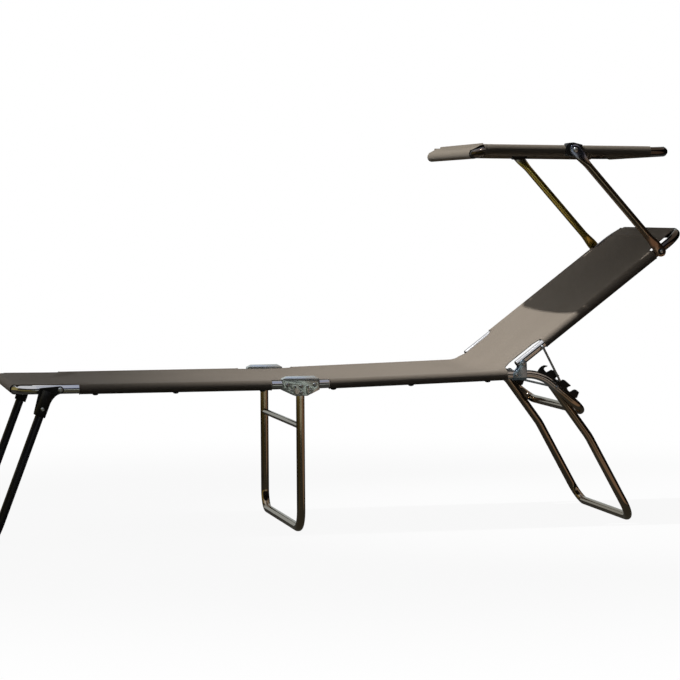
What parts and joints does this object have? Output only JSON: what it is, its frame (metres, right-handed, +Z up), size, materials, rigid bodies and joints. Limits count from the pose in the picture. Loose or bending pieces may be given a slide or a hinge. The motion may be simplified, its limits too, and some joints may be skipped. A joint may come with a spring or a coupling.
{
  "type": "sun lounger with canopy",
  "caption": "Folding sun lounger of bent tube with a taut cloth bed, a ratchet backrest on a wire prop, leg frames that fold under and a tilting cloth canopy on two posts.",
  "frame": {"origin": "middle of the bounding box on the floor", "axes": "+X along the lounger to the head end, +Y across it to the far side of the picture, +Z up"},
  "size_m": [1.837, 0.6218, 1.003],
  "materials": {
    "bright_tube": "polished and lacquered, warm tinge",
    "black_tube": "gloss black coat",
    "zinc_plate": "zinc plated pressing",
    "rivet_metal": "plain bright",
    "bright_wire": "zinc plated round wire",
    "black_plastic": "moulded, fine grain",
    "cloth": "fine coated mesh weave, taupe"
  },
  "bodies": {
    "seat_section": {"seat_frame_tube": "bright_tube", "seat_sling": "cloth", "back_hinge_plate_near": "zinc_plate", "back_hinge_plate_far": "zinc_plate", "back_pivot_rivet_near": "rivet_metal", "back_pivot_rivet_far": "rivet_metal", "hinge_plate_rivet_near": "rivet_metal", "hinge_plate_rivet_far": "rivet_metal", "rear_leg_axle": "bright_wire", "prop_rack_near": "black_plastic", "prop_rack_far": "black_plastic", "rack_rivet_near": "rivet_metal", "rack_rivet_far": "rivet_metal"},
    "middle_leg": {"middle_hinge_shell_near": "zinc_plate", "middle_hinge_shell_far": "zinc_plate", "foot_fold_rivet_near": "rivet_metal", "foot_fold_rivet_far": "rivet_metal", "seat_fold_rivet_near": "rivet_metal", "seat_fold_rivet_far": "rivet_metal", "foot_stop_rivet_near": "rivet_metal", "foot_stop_rivet_far": "rivet_metal", "seat_stop_rivet_near": "rivet_metal", "seat_stop_rivet_far": "rivet_metal", "leg_rivet_upper_near": "rivet_metal", "leg_rivet_upper_far": "rivet_metal", "leg_rivet_lower_near": "rivet_metal", "leg_rivet_lower_far": "rivet_metal", "middle_leg_tube": "bright_tube", "middle_leg_crossbar": "bright_tube"},
    "foot_section": {"foot_frame_tube": "bright_tube", "foot_sling": "cloth", "foot_leg_pivot_bolt_near": "rivet_metal", "foot_leg_pivot_bolt_far": "rivet_metal"},
    "foot_leg": {"foot_leg_tube": "black_tube", "foot_leg_bracket_near": "black_plastic", "foot_leg_bracket_far": "black_plastic", "foot_leg_bolt_near": "rivet_metal", "foot_leg_bolt_far": "rivet_metal"},
    "rear_leg": {"rear_leg_tube": "bright_tube", "rear_leg_bush_near": "black_plastic", "rear_leg_bush_far": "black_plastic"},
    "backrest": {"back_frame_tube": "bright_tube", "back_sling": "cloth", "back_end_plug_near": "black_plastic", "back_end_plug_far": "black_plastic", "post_pivot_bolt_near": "black_plastic", "post_pivot_bolt_far": "black_plastic"},
    "prop": {"prop_wire": "bright_wire"},
    "canopy_posts": {"canopy_post_near": "bright_tube", "canopy_post_far": "bright_tube"},
    "canopy": {"canopy_frame_foot_side": "bright_tube", "canopy_frame_head_side": "bright_tube", "canopy_cloth": "cloth", "canopy_joint_block_near": "black_plastic", "canopy_joint_block_far": "black_plastic", "canopy_pivot_bolt_near": "rivet_metal", "canopy_pivot_bolt_far": "rivet_metal"}
  },
  "joints": [
    {"name": "middle_bracket_fold", "type": "hinge", "parent": "seat_section", "child": "middle_leg", "pos_m": [-0.08305, 0, 0.384], "axis": [0, -1, 0], "range_deg": [0, 84]},
    {"name": "foot_section_fold", "type": "hinge", "parent": "middle_leg", "child": "foot_section", "pos_m": [-0.15505, 0, 0.384], "axis": [0, -1, 0], "range_deg": [0, 84]},
    {"name": "foot_leg_fold", "type": "hinge", "parent": "foot_section", "child": "foot_leg", "pos_m": [-0.73705, 0, 0.384], "axis": [0, -1, 0], "range_deg": [0, 110.5]},
    {"name": "rear_leg_fold", "type": "hinge", "parent": "seat_section", "child": "rear_leg", "pos_m": [0.56264, 0, 0.36378], "axis": [0, 1, 0], "range_deg": [0, 118]},
    {"name": "backrest_fold", "type": "hinge", "parent": "seat_section", "child": "backrest", "pos_m": [0.47046, 0, 0.42799], "axis": [0, -1, 0], "range_deg": [0, 52]},
    {"name": "prop_swing", "type": "hinge", "parent": "backrest", "child": "prop", "pos_m": [0.52114, 0, 0.47336], "axis": [0, -1, 0], "range_deg": [0, 85]},
    {"name": "canopy_post_pivot", "type": "hinge", "parent": "backrest", "child": "canopy_posts", "pos_m": [0.8419, 0, 0.71683], "axis": [0, 1, 0], "range_deg": [-30, 90]},
    {"name": "canopy_tilt", "type": "hinge", "parent": "canopy_posts", "child": "canopy", "pos_m": [0.60935, 0, 0.98294], "axis": [0, 1, 0], "range_deg": [-60, 60]}
  ]
}
